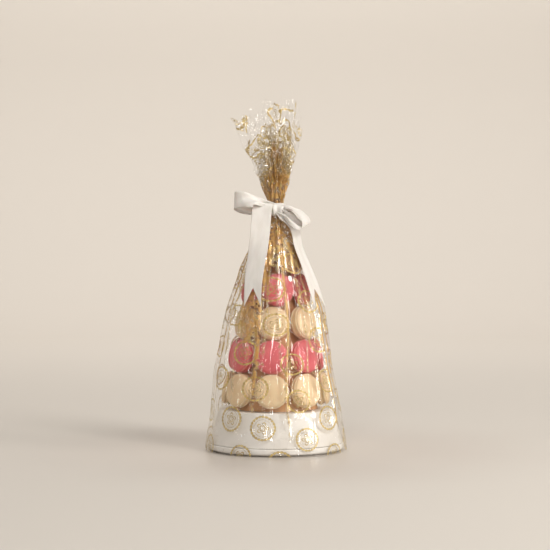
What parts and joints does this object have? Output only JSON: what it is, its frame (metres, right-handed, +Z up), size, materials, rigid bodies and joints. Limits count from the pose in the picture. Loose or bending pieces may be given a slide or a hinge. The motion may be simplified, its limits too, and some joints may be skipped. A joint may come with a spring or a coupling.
{
  "type": "wrapped macaron tower",
  "caption": "Gift macaron tower: macarons ringed round a paper cone on a white drum base, wrapped in clear printed film gathered into a plume and tied with a satin bow.",
  "frame": {"origin": "centre of the board's underside, on the surface the tower stands on", "axes": "+Z up along the cone's axis, -Y towards the front with the bow, +X to the right seen from the front"},
  "size_m": [0.1822, 0.1822, 0.459],
  "materials": {
    "white_board": "smooth white covered board",
    "kraft_paper": "matt tan paper",
    "almond": "baked pale beige meringue shells with a cream filling",
    "raspberry": "baked pink meringue shells with a pink filling",
    "caramel": "baked tan meringue shells with a cream filling",
    "clear_film": "clear crisp film printed with gold rings",
    "satin": "white satin ribbon"
  },
  "bodies": {
    "root": {"base_board": "white_board", "base_drum": "white_board", "cone": "kraft_paper", "macaron_1_1": "almond", "macaron_1_2": "almond", "macaron_1_3": "almond", "macaron_1_4": "almond", "macaron_1_5": "almond", "macaron_1_6": "almond", "macaron_1_7": "almond", "macaron_1_8": "almond", "macaron_2_1": "raspberry", "macaron_2_2": "raspberry", "macaron_2_3": "raspberry", "macaron_2_4": "raspberry", "macaron_2_5": "raspberry", "macaron_2_6": "raspberry", "macaron_2_7": "raspberry", "macaron_3_1": "almond", "macaron_3_2": "almond", "macaron_3_3": "almond", "macaron_3_4": "almond", "macaron_3_5": "almond", "macaron_3_6": "almond", "macaron_4_1": "raspberry", "macaron_4_2": "raspberry", "macaron_4_3": "raspberry", "macaron_4_4": "raspberry", "macaron_4_5": "raspberry", "macaron_5_1": "caramel", "macaron_5_2": "caramel", "macaron_5_3": "caramel", "macaron_5_4": "caramel", "wrap_film": "clear_film", "ribbon_bow": "satin"}
  },
  "joints": []
}
